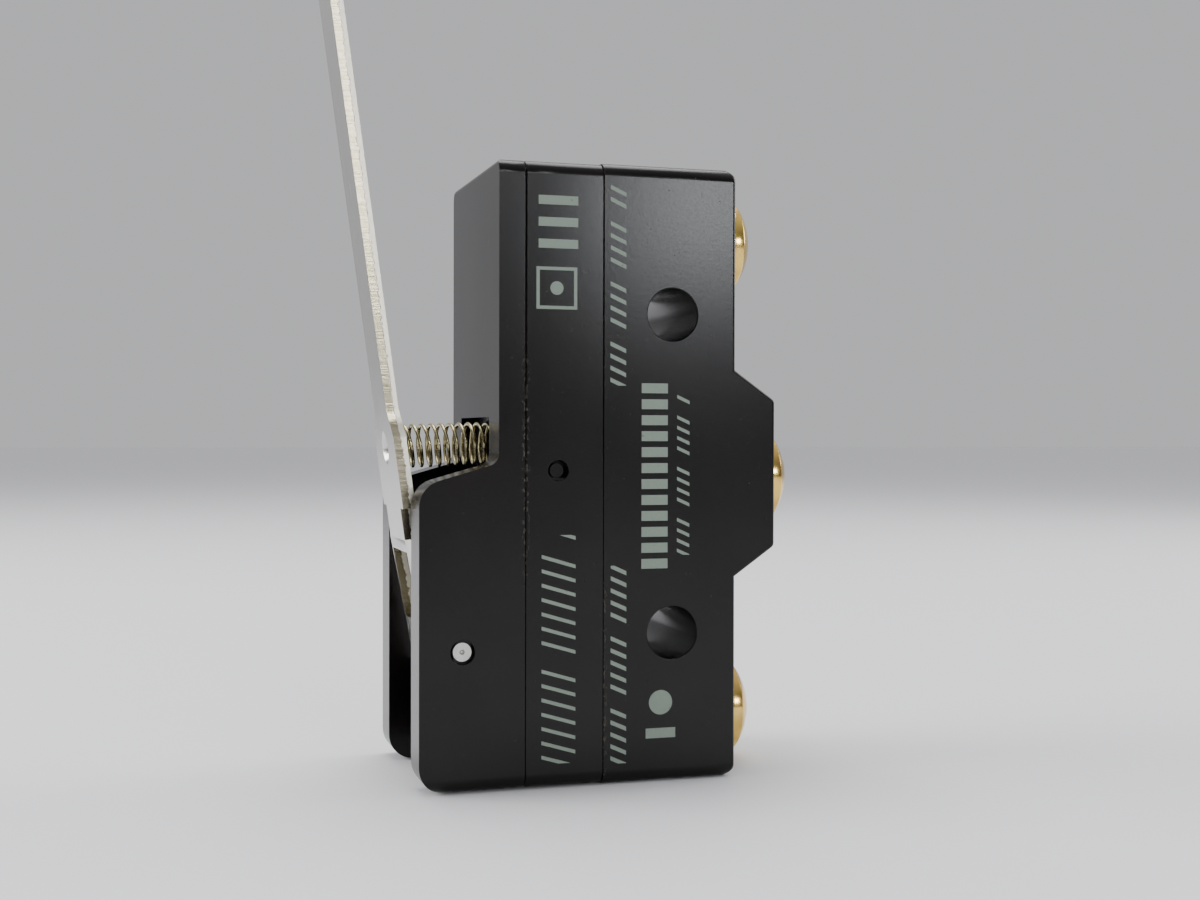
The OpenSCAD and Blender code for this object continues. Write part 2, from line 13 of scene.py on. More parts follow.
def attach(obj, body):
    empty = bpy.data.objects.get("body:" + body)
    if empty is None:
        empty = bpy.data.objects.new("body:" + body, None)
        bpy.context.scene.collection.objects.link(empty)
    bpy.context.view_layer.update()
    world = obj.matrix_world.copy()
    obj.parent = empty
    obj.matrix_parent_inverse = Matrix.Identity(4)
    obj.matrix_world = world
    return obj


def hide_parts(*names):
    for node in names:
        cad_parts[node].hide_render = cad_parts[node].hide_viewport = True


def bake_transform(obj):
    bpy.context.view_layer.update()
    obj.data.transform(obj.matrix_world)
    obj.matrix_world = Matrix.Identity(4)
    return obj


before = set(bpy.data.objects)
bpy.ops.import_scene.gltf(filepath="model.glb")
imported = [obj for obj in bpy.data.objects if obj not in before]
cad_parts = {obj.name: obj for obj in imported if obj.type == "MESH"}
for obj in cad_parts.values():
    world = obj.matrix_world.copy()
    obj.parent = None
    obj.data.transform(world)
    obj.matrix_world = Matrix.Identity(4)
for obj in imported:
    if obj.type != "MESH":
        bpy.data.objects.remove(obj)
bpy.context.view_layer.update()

log = logging.getLogger("limit_switch")
Colour = tuple[float, float, float]
Point = tuple[float, float, float]

MM = 0.001  # metres in a millimetre
WELD = 0.0004 * MM  # vertices nearer than this are one
ON_PLANE_MM = 0.001  # how near a vertex on a plane lies to it
FLAT_DEG = 0.6  # faces that turn less than this are one
CORNER_DEG = 32.0  # outside edges sharper than this can be rounded
PIN_XZ = (-17.05, 10.95)  # centre of the hinge pin
ARM_LEAN_DEG = 7.8  # lean of the lever's arm from upright


# ---- Shader graph -------------------------------------------------------

class Socket:
    """An output socket that adds Math nodes when it is used in an expression."""

    def __init__(self, graph: "Graph", source: bpy.types.NodeSocket) -> None:
        """Keeps the graph and the output socket."""
        self.graph = graph
        self.source = source

    def _math(self, operation: str, first: "Value", second: "Value" = 0.0) -> "Socket":
        """Adds one Math node to the graph."""
        return self.graph.node("ShaderNodeMath", {"operation": operation}, {0: first, 1: second})

    def __add__(self, other: "Value") -> "Socket":
        """Sum of two values."""
        return self._math("ADD", self, other)

    def __radd__(self, other: "Value") -> "Socket":
        """Sum with a number on the left."""
        return self._math("ADD", other, self)

    def __sub__(self, other: "Value") -> "Socket":
        """Difference of two values."""
        return self._math("SUBTRACT", self, other)

    def __rsub__(self, other: "Value") -> "Socket":
        """Difference with a number on the left."""
        return self._math("SUBTRACT", other, self)

    def __mul__(self, other: "Value") -> "Socket":
        """Product of two values."""
        return self._math("MULTIPLY", self, other)

    def __rmul__(self, other: "Value") -> "Socket":
        """Product with a number on the left."""
        return self._math("MULTIPLY", other, self)

    def __truediv__(self, other: "Value") -> "Socket":
        """Quotient of two values."""
        return self._math("DIVIDE", self, other)

    def __abs__(self) -> "Socket":
        """Absolute value."""
        return self._math("ABSOLUTE", self)

    def __pow__(self, other: "Value") -> "Socket":
        """Value raised to a power."""
        return self._math("POWER", self, other)

    def below(self, limit: "Value") -> "Socket":
        """1 where the value is under the limit, else 0."""
        return self._math("LESS_THAN", self, limit)

    def larger(self, other: "Value") -> "Socket":
        """The larger of two values."""
        return self._math("MAXIMUM", self, other)

    def fraction(self) -> "Socket":
        """What is left over a whole number."""
        return self._math("FRACT", self)


Value = Union[float, Socket]


class Graph:
    """The nodes of a material or of the world."""

    def __init__(self, owner: Union[bpy.types.Material, bpy.types.World]) -> None:
        """Empties the owner's node tree.

        Args:
            owner: Material or world that the nodes are added to.
        """
        self.owner = owner
        self.owner.use_nodes = True
        self.tree = self.owner.node_tree
        self.tree.nodes.clear()

    def node(self, kind: str, settings: dict, sockets: dict,
             output: Union[int, str] = 0) -> Socket:
        """Adds one node.

        Args:
            kind: Type of the node.
            settings: Attributes that are set first, such as a Math node's operation.
            sockets: Values or links by input name or index.
            output: Name or index of the output to return.

        Returns:
            The chosen output.
        """
        made = self.tree.nodes.new(kind)
        for key, value in settings.items():
            setattr(made, key, value)
        for key, value in sockets.items():
            if isinstance(value, Socket):
                self.tree.links.new(value.source, made.inputs[key])
            elif isinstance(value, tuple) and made.inputs[key].type == "RGBA":
                made.inputs[key].default_value = (*value, 1.0)
            else:
                made.inputs[key].default_value = value
        return Socket(self, made.outputs[output])

    def place(self) -> Socket:
        """Object coordinates in millimetres."""
        coordinates = self.node("ShaderNodeTexCoord", {}, {}, "Object")
        settings = {"operation": "SCALE"}
        return self.node("ShaderNodeVectorMath", settings, {0: coordinates, "Scale": 1.0 / MM})

    def axes(self, vector: Socket) -> tuple[Socket, Socket, Socket]:
        """The three parts of a vector."""
        made = self.node("ShaderNodeSeparateXYZ", {}, {0: vector})
        outputs = made.source.node.outputs
        return Socket(self, outputs[0]), Socket(self, outputs[1]), Socket(self, outputs[2])

    def noise(self, place: Socket, scale: float, detail: float,
              stretch: Point = (1.0, 1.0, 1.0)) -> Socket:
        """Noise between 0 and 1.

        Args:
            place: Coordinates in millimetres.
            scale: Waves per millimetre.
            detail: Octaves that are added.
            stretch: Scale along each axis.

        Returns:
            The noise value.
        """
        mapped = self.node("ShaderNodeMapping", {}, {"Vector": place, "Scale": stretch})
        sockets = {"Vector": mapped, "Scale": scale, "Detail": detail, "Roughness": 0.55}
        return self.node("ShaderNodeTexNoise", {}, sockets, "Fac")

    def ramp(self, value: Value, low: float, high: float) -> Socket:
        """A smooth step from 0 at low to 1 at high."""
        settings = {"interpolation_type": "SMOOTHSTEP"}
        return self.node("ShaderNodeMapRange", settings,
                         {"Value": value, "From Min": low, "From Max": high})

    def band(self, value: Socket, centre: float, half: float, soft: float) -> Socket:
        """1 within half of the centre, falling to 0 over the soft width."""
        return 1.0 - self.ramp(abs(value - centre), half - soft / 2, half + soft / 2)

    def mix(self, factor: Value, first: Union[Colour, Socket],
            second: Union[Colour, Socket]) -> Socket:
        """Mixes two colours."""
        sockets = {0: factor, 6: first, 7: second}
        return self.node("ShaderNodeMix", {"data_type": "RGBA"}, sockets, 2)

    def attribute(self, name: str) -> Socket:
        """A value that is stored on the mesh."""
        return self.node("ShaderNodeAttribute", {"attribute_name": name}, {}, "Fac")

    def bump(self, height: Socket, depth_mm: float, strength: float) -> Socket:
        """A bumped normal.

        Args:
            height: Height between 0 and 1.
            depth_mm: Depth that a height of 1 stands for.
            strength: Strength of the bump.

        Returns:
            The normal.
        """
        sockets = {"Strength": strength, "Distance": depth_mm * MM, "Height": height}
        return self.node("ShaderNodeBump", {}, sockets, "Normal")

    def close(self, shader: Socket, kind: str) -> None:
        """Links a shader to the output node of the tree."""
        output = self.tree.nodes.new(kind)
        self.tree.links.new(shader.source, output.inputs["Surface"])

    def finish(self, **sockets: Union[Value, Colour]) -> bpy.types.Material:
        """Ends the graph in a Principled shader.

        Args:
            sockets: Inputs of the shader, with underscores for spaces.

        Returns:
            The material.
        """
        named = {key.replace("_", " "): value for key, value in sockets.items()}
        self.close(self.node("ShaderNodeBsdfPrincipled", {}, named), "ShaderNodeOutputMaterial")
        return self.owner


# ---- Printed marks ------------------------------------------------------

class Shape(Enum):
    """Plain shapes that stand for the print on the case."""

    BAR = "bar"
    HATCH = "hatch"
    SQUARE_FRAME = "square_frame"
    DISC = "disc"


@dataclass(frozen=True)
class Mark:
    """One plain printed shape on the near face, in millimetres.

    A hatch repeats its strokes at the pitch, inks the fill's share of each, slants them across
    its width, and leaves out one stroke in every gap_every.
    """

    shape: Shape
    x: float
    z: float
    width: float
    height: float
    pitch: float = 1.0
    fill: float = 0.6
    slant: float = 0.0
    gap_every: float = 0.0
    line: float = 0.26
    soft: float = 0.04

    def mask(self, graph: Graph, x: Socket, z: Socket) -> Socket:
        """Where the ink of this mark is.

        Args:
            graph: Graph that the nodes are added to.
            x: Place across the case.
            z: Place along the case.

        Returns:
            1 on the ink and 0 beside it.
        """
        if self.shape is Shape.DISC:
            away = ((x - self.x) ** 2.0 + (z - self.z) ** 2.0) ** 0.5
            return 1.0 - graph.ramp(away, self.width / 2 - self.soft, self.width / 2)
        if self.shape is Shape.SQUARE_FRAME:
            away = abs(x - self.x).larger(abs(z - self.z))
            return graph.band(away, (self.width - self.line) / 2, self.line / 2, self.soft)
        across = graph.band(x, self.x, self.width / 2, self.soft)
        along = graph.band(z, self.z, self.height / 2, self.soft)
        mask = across * along
        start = self.z - self.height / 2
        if self.shape is Shape.HATCH:
            place = (z - start + (x - self.x) * self.slant) / self.pitch
            mask = mask * place.fraction().below(self.fill)
            if self.gap_every:
                inked = 1.0 - 1.0 / self.gap_every
                mask = mask * (place / self.gap_every).fraction().below(inked)
        return mask


# ---- Finishes -----------------------------------------------------------

@dataclass(frozen=True)
class Phenolic:
    """Black moulded phenolic with a fine grain, scuffed joints and pale printed marks."""

    name: str
    marks: tuple[Mark, ...] = ()
    scuff_x: Optional[float] = None
    scuff_z: float = 25.0
    near_y: float = -8.725
    dark: Colour = (0.0022, 0.0019, 0.0020)
    warm: Colour = (0.0058, 0.0042, 0.0034)
    scuffed: Colour = (0.120, 0.105, 0.080)
    ink: Colour = (0.230, 0.285, 0.235)
    roughness: float = 0.17
    cloud_scale: float = 0.11
    grain_scale: float = 5.5
    pit_scale: float = 2.6
    dust_scale: float = 3.4
    scratch_scale: float = 1.3
    scratch_stretch: Point = (9.0, 9.0, 0.35)
    speck_scale: float = 3.0
    speck_stretch: Point = (1.4, 1.0, 0.7)
    wear_scale: float = 2.2
    relief_mm: float = 0.008

    def build(self) -> bpy.types.Material:
        """The material of this finish."""
        graph = Graph(bpy.data.materials.new(self.name))
        place = graph.place()
        x, y, z = graph.axes(place)
        cloud = graph.noise(place, self.cloud_scale, 3.0)
        grain = graph.noise(place, self.grain_scale, 2.5)
        pits = graph.noise(place, self.pit_scale, 1.0)
        dust = graph.ramp(graph.noise(place, self.dust_scale, 4.0), 0.70, 0.78)
        colour = graph.mix(graph.ramp(cloud, 0.35, 0.65), self.dark, self.warm)
        colour = graph.mix(dust * 0.35, colour, self.scuffed)
        streak = graph.noise(place, self.scratch_scale, 3.0, self.scratch_stretch)
        scratch = graph.ramp(streak, 0.66, 0.74)
        rough = self.roughness + grain * 0.10 + dust * 0.25 + scratch * 0.06
        if self.scuff_x is not None:
            beside = 1.0 - graph.ramp(abs(x - self.scuff_x), 0.05, 0.40)
            length = 1.0 - graph.ramp(abs(z - self.scuff_z), 3.0, 11.0)
            speck = graph.noise(place, self.speck_scale, 4.0, self.speck_stretch)
            speck = graph.ramp(speck, 0.50, 0.68)
            scuff = beside * (0.10 + length * 0.90) * speck
            colour = graph.mix(scuff * 0.55, colour, self.scuffed)
            rough = rough + scuff * 0.30
        height = grain * 0.5 + pits * 0.5
        if self.marks:
            print_mask = self.marks[0].mask(graph, x, z)
            for mark in self.marks[1:]:
                print_mask = print_mask.larger(mark.mask(graph, x, z))
            worn = graph.ramp(graph.noise(place, self.wear_scale, 5.0), 0.22, 0.34)
            print_mask = print_mask * y.below(self.near_y + 0.02) * worn
            colour = graph.mix(print_mask * (0.86 + grain * 0.2), colour, self.ink)
            rough = rough + print_mask * 0.22
            height = height + print_mask * 0.6
        normal = graph.bump(height, self.relief_mm, 0.5)
        return graph.finish(Base_Color=colour, Roughness=rough, Normal=normal, IOR=1.34)


@dataclass(frozen=True)
class SheetSteel:
    """Nickel-plated sheet, bright on its faces and striated on its sheared edges."""

    name: str
    plate: Colour = (0.60, 0.585, 0.56)
    smudged: Colour = (0.54, 0.525, 0.50)
    burnished: Colour = (0.40, 0.365, 0.25)
    rubbed: Colour = (0.62, 0.57, 0.42)
    torn: Colour = (0.93, 0.89, 0.76)
    burnish_share: float = 0.60
    relief_mm: float = 0.030

    def build(self) -> bpy.types.Material:
        """The material of this finish."""
        graph = Graph(bpy.data.materials.new(self.name))
        place = graph.place()
        cut = graph.attribute("cut")
        depth = graph.attribute("depth")
        streak = graph.noise(place, 1.6, 3.0, (1.0, 1.0, 0.05))
        smudge = graph.noise(place, 0.35, 2.0)
        strokes = graph.noise(place, 1.0, 3.0, (0.6, 0.6, 6.5))
        tear = graph.noise(place, 2.4, 5.0)
        ragged = graph.noise(place, 2.6, 5.0, (0.5, 0.5, 1.0))
        edge = self.burnish_share + (ragged - 0.5) * 0.50
        torn = graph.ramp(depth - edge, -0.03, 0.05)
        burnish = graph.mix(graph.ramp(strokes, 0.35, 0.72), self.burnished, self.rubbed)
        edge_colour = graph.mix(torn, burnish, self.torn)
        face_colour = graph.mix(smudge, self.plate, self.smudged)
        colour = graph.mix(cut, face_colour, edge_colour)
        face_rough = 0.17 + streak * 0.10 + smudge * 0.06
        edge_rough = 0.18 + torn * 0.18 + strokes * 0.08
        rough = face_rough * (1.0 - cut) + edge_rough * cut
        edge_height = strokes * (1.0 - torn) * 0.5 + tear * torn
        height = streak * 0.06 * (1.0 - cut) + edge_height * cut
        normal = graph.bump(height, self.relief_mm, 0.7)
        return graph.finish(Base_Color=colour, Metallic=1.0, Roughness=rough, Normal=normal)


@dataclass(frozen=True)
class Metal:
    """Plain metal with fine drawing or turning marks."""

    name: str
    bright: Colour
    dull: Colour
    roughness: float = 0.2
    grain_scale: float = 3.0
    stretch: Point = (1.0, 1.0, 1.0)
    relief_mm: float = 0.006

    def build(self) -> bpy.types.Material:
        """The material of this finish."""
        graph = Graph(bpy.data.materials.new(self.name))
        place = graph.place()
        grain = graph.noise(place, self.grain_scale, 3.0, self.stretch)
        tarnish = graph.noise(place, 0.45, 3.0)
        colour = graph.mix(graph.ramp(tarnish, 0.40, 0.72), self.bright, self.dull)
        rough = self.roughness + grain * 0.08 + graph.ramp(tarnish, 0.5, 0.8) * 0.10
        normal = graph.bump(grain, self.relief_mm, 0.5)
        return graph.finish(Base_Color=colour, Metallic=1.0, Roughness=rough, Normal=normal)


@dataclass(frozen=True)
class GroundPin:
    """Ground steel whose end faces show turned rings."""

    name: str
    x: float
    z: float
    steel: Colour = (0.66, 0.65, 0.63)
    shaded: Colour = (0.42, 0.41, 0.39)
    rings_per_mm: float = 9.0
    relief_mm: float = 0.006

    def build(self) -> bpy.types.Material:
        """The material of this finish."""
        graph = Graph(bpy.data.materials.new(self.name))
        place = graph.place()
        x, _, z = graph.axes(place)
        away = ((x - self.x) ** 2.0 + (z - self.z) ** 2.0) ** 0.5
        rings = (away * self.rings_per_mm + graph.noise(place, 1.5, 2.0) * 0.6).fraction()
        colour = graph.mix(graph.noise(place, 1.2, 4.0), self.steel, self.shaded)
        rough = 0.30 + rings * 0.10
        normal = graph.bump(rings, self.relief_mm, 0.6)
        return graph.finish(Base_Color=colour, Metallic=1.0, Roughness=rough, Normal=normal)


# ---- Mesh helpers -------------------------------------------------------

EdgeTest = Callable[[bmesh.types.BMEdge], bool]


def from_node(node: str, split_x: Optional[float] = None) -> bmesh.types.BMesh:
    """A merged copy of a frame node's mesh, with its flat faces joined up.

    Args:
        node: Name of the node.
        split_x: Level in millimetres where faces stay divided, so that a face with holes along
            that level becomes two plain halves.

    Returns:
        The copy.
    """
    copy = bmesh.new()
    copy.from_mesh(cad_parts[node].data)
    bmesh.ops.remove_doubles(copy, verts=copy.verts, dist=WELD)
    if split_x is not None:
        whole = list(copy.verts) + list(copy.edges) + list(copy.faces)
        bmesh.ops.bisect_plane(copy, geom=whole, dist=WELD, plane_co=(split_x * MM, 0, 0),
                               plane_no=(1, 0, 0))
        for edge in copy.edges:
            edge.seam = all(abs(vert.co.x / MM - split_x) < ON_PLANE_MM for vert in edge.verts)
    bmesh.ops.dissolve_limit(copy, verts=copy.verts, edges=copy.edges, delimit={"SEAM"},
                             angle_limit=math.radians(FLAT_DEG), use_dissolve_boundaries=False)
    bmesh.ops.recalc_face_normals(copy, faces=copy.faces)
    return copy


def is_corner(edge: bmesh.types.BMEdge) -> bool:
    """Whether an edge is a sharp outside corner."""
    angle = math.radians(CORNER_DEG)
    return len(edge.link_faces) == 2 and edge.calc_face_angle_signed() > angle


def round_edges(solid: bmesh.types.BMesh, test: EdgeTest, radius: float, segments: int) -> None:
    """Rounds the outside corners that pass a test.

    Args:
        solid: Mesh to change.
        test: Tells which corners are rounded.
        radius: Width of the rounding in millimetres.
        segments: Faces across the rounding.
    """
    edges = [edge for edge in solid.edges if is_corner(edge) and test(edge)]
    if edges:
        bmesh.ops.bevel(solid, geom=edges, offset=radius * MM, offset_type="OFFSET",
                        affect="EDGES", segments=segments, profile=0.5, clamp_overlap=True,
                        material=-1)


def longer_than(length: float) -> EdgeTest:
    """A test that passes edges longer than a length in millimetres."""
    return lambda edge: edge.calc_length() > length * MM


def link(name: str, data: bpy.types.ID) -> bpy.types.Object:
    """Puts a mesh, a light or a camera into the scene."""
    made = bpy.data.objects.new(name, data)
    bpy.context.scene.collection.objects.link(made)
    return made


def to_object(name: str, solid: bmesh.types.BMesh) -> bpy.types.Object:
    """Puts a bmesh into the scene as an object, and frees it."""
    mesh = bpy.data.meshes.new(name)
    solid.to_mesh(mesh)
    solid.free()
    return link(name, mesh)


def subtract(solid: bmesh.types.BMesh, cutter: bmesh.types.BMesh) -> bmesh.types.BMesh:
    """Cuts one solid out of another.

    Args:
        solid: Mesh that is cut; it is freed.
        cutter: Mesh that is taken away; it is freed.

    Returns:
        What is left.
    """
    kept, tool = to_object("kept", solid), to_object("cutter", cutter)
    cut = kept.modifiers.new("cut", "BOOLEAN")
    cut.operation = "DIFFERENCE"
    cut.solver = "EXACT"
    cut.object = tool
    bpy.context.view_layer.update()
    seen = kept.evaluated_get(bpy.context.evaluated_depsgraph_get())
    result = bmesh.new()
    result.from_mesh(seen.to_mesh())
    seen.to_mesh_clear()
    for piece in (kept, tool):
        mesh = piece.data
        bpy.data.objects.remove(piece)
        bpy.data.meshes.remove(mesh)
    return result


def slab(low: Point, high: Point) -> bmesh.types.BMesh:
    """A box between two corners, in millimetres."""
    box = bmesh.new()
    size = [(b - a) * MM for a, b in zip(low, high)]
    centre = [(a + b) / 2 * MM for a, b in zip(low, high)]
    placed = Matrix.Translation(centre) @ Matrix.Diagonal((*size, 1.0))
    bmesh.ops.create_cube(box, size=1.0, matrix=placed)
    return box


def show(name: str, solid: bmesh.types.BMesh, finish: bpy.types.Material, body: Optional[str],
         node: str, smooth_deg: float = 40.0,
         weighted: bool = True) -> bpy.types.Object:
    """Turns a mesh into a piece that rides on a body.

    Args:
        name: Name of the piece.
        solid: Its mesh, which is freed.
        finish: Its material.
        body: Body that it rides on, or None if it rides on none.
        node: Frame node that it stands for.
        smooth_deg: Edges sharper than this stay sharp.
        weighted: Whether large faces set the shading beside small ones.

    Returns:
        The piece.
    """
    open_edges = sum(1 for edge in solid.edges if len(edge.link_faces) != 2)
    piece = to_object(name, solid)
    mesh = piece.data
    mesh.polygons.foreach_set("use_smooth", [True] * len(mesh.polygons))
    mesh.set_sharp_from_angle(angle=math.radians(smooth_deg))
    mesh.materials.append(finish)
    if weighted:
        shading = piece.modifiers.new("shading", "WEIGHTED_NORMAL")
        shading.keep_sharp = True
        shading.weight = 60
    if body:
        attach(piece, body)
    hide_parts(node)
    log.info("%s: %d faces, %d open edges", name, len(mesh.polygons), open_edges)
    return piece


def dress(node: str, finish: bpy.types.Material) -> None:
    """Gives a frame node a better material."""
    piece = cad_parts[node]
    if not piece.material_slots:
        piece.data.materials.append(finish)
    for held in piece.material_slots:
        held.material = finish
    log.info("%s: dressed", node)


# ---- Case ---------------------------------------------------------------

@dataclass
class Case:
    """The three mouldings, in millimetres."""

    length: float = 49.2
    width: float = 17.45
    corner_r: float = 1.1
    seam_x: float = -5.74
    cover_x: float = -12.07
    slot_floor_x: float = -13.07
    hole_r: float = 2.1
    hole_z: tuple[float, float] = (11.9, 37.3)
    pin: tuple[float, float] = PIN_XZ
    pin_mouth_r: float = 0.95
    latch: tuple[float, float] = (-9.44, 24.9)
    latch_r: float = 0.83
    base_scuff_z: float = 8.0
    near: float = 0.01  # reach of a test for a flat level
    near_mouth: float = 0.05  # reach of a test for a hole's circle
    near_skin: float = 0.15  # reach of a test for the rounded section
    short_edge: float = 0.25  # slot corners shorter than this stay sharp
    below_floor: float = 0.5  # how far below the slot's floor its corners start
    outline_r: float = 0.28
    seam_r: float = 0.05
    groove_r: float = 0.11
    mouth_r: float = 0.10

    def on_skin(self, point: Vector) -> bool:
        """Whether a point lies on the rounded outside of the case's section."""
        y = abs(point.y) / MM - (self.width / 2 - self.corner_r)
        z = abs(point.z / MM - self.length / 2) - (self.length / 2 - self.corner_r)
        outside = math.hypot(max(y, 0.0), max(z, 0.0)) + min(max(y, z), 0.0)
        return abs(outside - self.corner_r) < self.near_skin

    def at_level(self, edge: bmesh.types.BMEdge, x: float) -> bool:
        """Whether both ends of an edge lie at one X."""
        return all(abs(vert.co.x / MM - x) < self.near for vert in edge.verts)

    def at_joint(self, edge: bmesh.types.BMEdge) -> bool:
        """Whether an edge lies at the level where two mouldings meet."""
        return self.at_level(edge, self.seam_x) or self.at_level(edge, self.cover_x)

    def at_hole(self, edge: bmesh.types.BMEdge) -> bool:
        """Whether an edge is the mouth of a mounting hole, the pin's hole or the latch's hole."""
        mouths = [(0.0, z, self.hole_r) for z in self.hole_z]
        mouths += [(*self.pin, self.pin_mouth_r), (*self.latch, self.latch_r)]
        for x, z, radius in mouths:
            away = max(math.hypot(v.co.x / MM - x, v.co.z / MM - z) for v in edge.verts)
            if away < radius + self.near_mouth:
                return True
        return False

    def is_outside(self, edge: bmesh.types.BMEdge) -> bool:
        """Whether an edge lies on the outside of the case and at no hole."""
        return all(self.on_skin(vert.co) for vert in edge.verts) and not self.at_hole(edge)

    def is_outline(self, edge: bmesh.types.BMEdge) -> bool:
        """Whether an edge belongs to the outline that is moulded with a radius."""
        return self.is_outside(edge) and not self.at_joint(edge)

    def is_joint(self, edge: bmesh.types.BMEdge) -> bool:
        """Whether an edge lies along the joint between two mouldings."""
        return self.is_outside(edge) and self.at_joint(edge)

    def is_mouth(self, edge: bmesh.types.BMEdge) -> bool:
        """Whether an edge is a hole's mouth on a side face."""
        side = self.width / 2
        on_side = all(abs(abs(vert.co.y) / MM - side) < self.near for vert in edge.verts)
        return on_side and self.at_hole(edge)

    def is_slot_corner(self, edge: bmesh.types.BMEdge) -> bool:
        """Whether an edge is a long corner of the slot between the cheeks."""
        long_enough = edge.calc_length() > self.short_edge * MM
        limit = self.slot_floor_x - self.below_floor
        beyond = all(vert.co.x / MM < limit for vert in edge.verts)
        return long_enough and beyond and not self.at_hole(edge)

    def base_marks(self) -> tuple[Mark, ...]:
        """Plain bars and dashes on the base."""
        return (
            Mark(Shape.HATCH, -4.56, 39.5, 1.30, 15.8, pitch=0.95, fill=0.36, slant=0.45,
                 gap_every=5.0),
            Mark(Shape.HATCH, -4.50, 9.5, 1.30, 15.7, pitch=0.95, fill=0.36, slant=0.45,
                 gap_every=6.0),
            Mark(Shape.HATCH, -1.50, 24.5, 2.20, 14.9, pitch=1.27, fill=0.62),
            Mark(Shape.HATCH, 0.92, 24.5, 1.05, 12.8, pitch=0.82, fill=0.34, slant=0.45,
                 gap_every=5.0),
            Mark(Shape.DISC, -0.96, 6.35, 2.00, 2.00),
            Mark(Shape.BAR, -0.96, 3.90, 2.50, 0.80),
        )

    def cover_marks(self) -> tuple[Mark, ...]:
        """Plain bars, dashes and a square on the cover."""
        return (
            Mark(Shape.HATCH, -9.48, 44.6, 3.20, 4.7, pitch=1.70, fill=0.42),
            Mark(Shape.SQUARE_FRAME, -9.60, 39.15, 3.30, 3.30),
            Mark(Shape.DISC, -9.60, 39.15, 1.10, 1.10),
            Mark(Shape.HATCH, -9.42, 10.9, 2.75, 17.9, pitch=1.12, fill=0.26, slant=0.30,
                 gap_every=8.0),
        )

    def build(self) -> None:
        """Makes the base, the cover and the lever holder."""
        base = from_node("terminal_base", 0.0)
        round_edges(base, self.is_outline, self.outline_r, 3)
        round_edges(base, self.is_joint, self.seam_r, 2)
        round_edges(base, self.is_mouth, self.mouth_r, 2)
        finish = Phenolic("black phenolic base", self.base_marks(), self.seam_x,
                          self.base_scuff_z).build()
        show("base_moulding", base, finish, "case", "terminal_base")

        cover = from_node("switch_cover", self.latch[0])
        round_edges(cover, self.is_joint, self.groove_r, 2)
        round_edges(cover, self.is_mouth, self.seam_r, 2)
        finish = Phenolic("black phenolic cover", self.cover_marks(), self.cover_x).build()
        show("cover_moulding", cover, finish, "case", "switch_cover")

        holder = from_node("lever_holder", self.pin[0])
        round_edges(holder, self.is_outline, self.outline_r, 3)
        round_edges(holder, self.is_joint, self.groove_r, 2)
        round_edges(holder, self.is_mouth, self.seam_r, 2)
        round_edges(holder, self.is_slot_corner, self.mouth_r, 2)
        finish = Phenolic("black phenolic holder", (), self.cover_x).build()
        show("holder_moulding", holder, finish, "case", "lever_holder")


# ---- Lever and return spring --------------------------------------------

@dataclass
class Lever:
    """The pressed sheet lever, in millimetres."""

    pin: tuple[float, float] = PIN_XZ
    thickness: float = 1.0
    web_w: float = 9.4
    tongue_w: float = 3.6
    bend_r: float = 1.2
    web_from_pin: float = 2.02
    knee_rise: float = 8.35
    arm_lean_deg: float = ARM_LEAN_DEG
    heel_lean_deg: float = 10.6
    inside: float = 0.15  # how far inside the web the ears and the tongue start
    tongue_play: float = 0.1  # how far beside the tongue its faces can lie
    short_edge: float = 0.1  # edges shorter than this stay sharp
    edge_r: float = 0.07

    @property
    def knee(self) -> tuple[float, float]:
        """X and Z of the knee on the lever's outer face."""
        lean = math.radians(self.heel_lean_deg)
        return (self.pin[0] - self.web_from_pin - self.knee_rise * math.tan(lean),
                self.pin[1] + self.knee_rise)

    def across(self, point: Vector) -> tuple[Vector, float]:
        """Direction through the sheet at a point, and how deep the point is in it."""
        above = point.z / MM > self.knee[1]
        lean = math.radians(self.arm_lean_deg if above else self.heel_lean_deg)
        through = Vector((math.cos(lean), 0.0, math.sin(lean)))
        corner = Vector((self.knee[0], 0.0, self.knee[1])) * MM
        return through, (point - corner).dot(through) / MM

    def is_cut(self, face: bmesh.types.BMFace) -> bool:
        """Whether a face is a sheared edge of the sheet."""
        centre = face.calc_center_median()
        through, depth = self.across(centre)
        side = abs(centre.y) / MM
        sideways = abs(face.normal.y)
        in_heel = centre.z / MM < self.knee[1]
        if in_heel and depth > self.thickness + self.inside:
            on_tongue = side < self.tongue_w / 2 + self.tongue_play
            return sideways > 0.5 if on_tongue else sideways < 0.5
        if in_heel and side > self.web_w / 2 - self.bend_r and sideways > 0.3:
            return False
        return abs(face.normal.dot(through)) < 0.5

    def build(self) -> None:
        """Makes the lever and stores where its sheared edges are."""
        solid = from_node("hinge_lever")
        round_edges(solid, longer_than(self.short_edge), self.edge_r, 2)
        solid.normal_update()
        cut = solid.faces.layers.float.new("cut")
        depth = solid.verts.layers.float.new("depth")
        for face in solid.faces:
            face[cut] = 1.0 if self.is_cut(face) else 0.0
        for vert in solid.verts:
            deep = self.across(vert.co)[1] / self.thickness
            in_ear = deep > 1.0 + self.inside and vert.co.z / MM < self.knee[1]
            ear_depth = (self.web_w / 2 - abs(vert.co.y) / MM) / self.thickness
            vert[depth] = min(max(ear_depth if in_ear else deep, 0.0), 1.0)
        finish = SheetSteel("nickel plated lever").build()
        show("lever_pressing", solid, finish, "lever", "hinge_lever")


